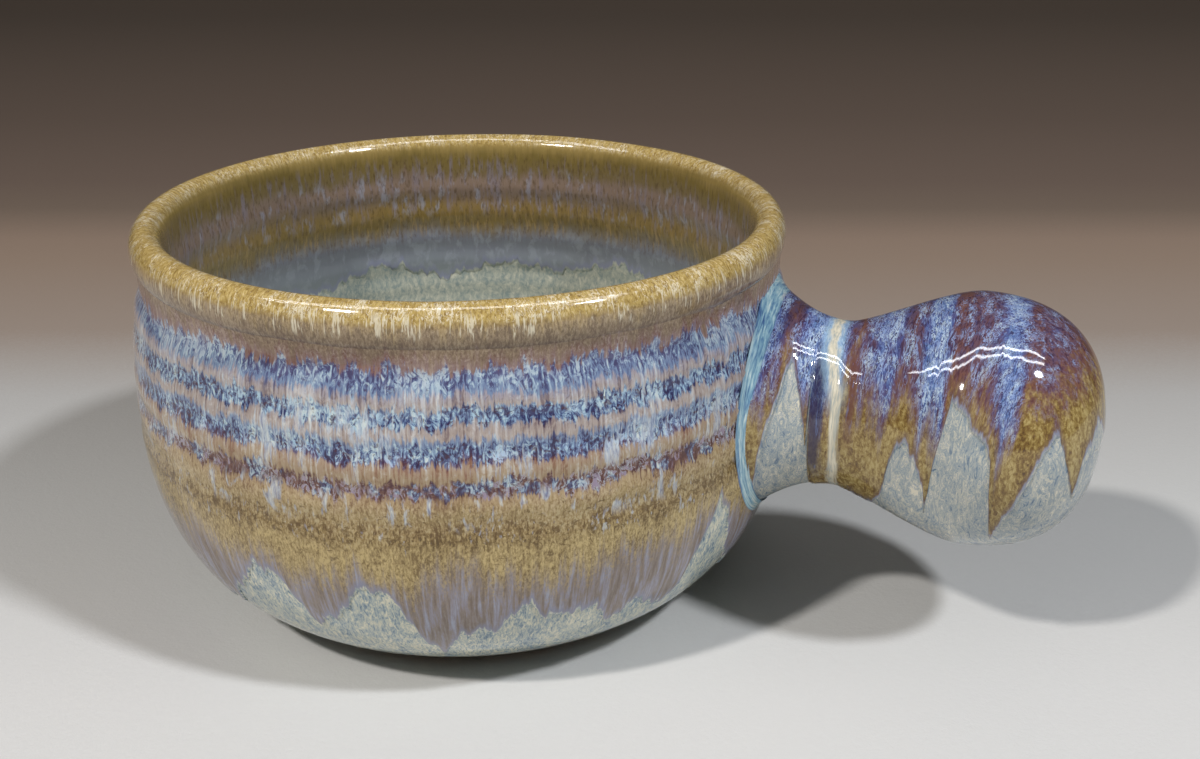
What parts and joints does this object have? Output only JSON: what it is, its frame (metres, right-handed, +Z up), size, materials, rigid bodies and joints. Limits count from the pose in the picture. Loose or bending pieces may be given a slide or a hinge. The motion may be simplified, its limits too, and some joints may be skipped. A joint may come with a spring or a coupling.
{
  "type": "lug soup bowl",
  "caption": "Round thrown soup bowl on a turned foot ring, with a rolled lip, throwing rings and one hollow knob handle, glazed in runs.",
  "frame": {"origin": "centre of the turned foot ring, on the table that the bowl stands on", "axes": "+Z up along the bowl's own axis, +X out along the handle, +Y to the handle's left seen from above"},
  "size_m": [0.1964, 0.1356, 0.08],
  "materials": {
    "bare_stoneware": "bare fired stoneware, matt",
    "handle_stoneware": "bare fired stoneware, matt",
    "fired_slip": "bare fired slip, matt",
    "base_glaze": "glossy pale grey-green glaze",
    "wall_glaze": "glossy blue and ochre glaze in runs",
    "lip_glaze": "glossy honey brown glaze, broken thin",
    "inner_glaze": "glossy olive brown glaze in runs",
    "handle_base_glaze": "glossy pale grey-blue glaze",
    "handle_glaze": "glossy purple-blue and ochre glaze in runs",
    "crease_glaze": "glossy turquoise glaze, pooled thick"
  },
  "bodies": {
    "root": {"bowl_body": "bare_stoneware", "knob_handle": "handle_stoneware", "joint_slip": "fired_slip", "base_glaze": "base_glaze", "wall_run_glaze": "wall_glaze", "lip_glaze": "lip_glaze", "inner_run_glaze": "inner_glaze", "handle_base_glaze": "handle_base_glaze", "handle_run_glaze": "handle_glaze", "crease_glaze": "crease_glaze"}
  },
  "joints": []
}
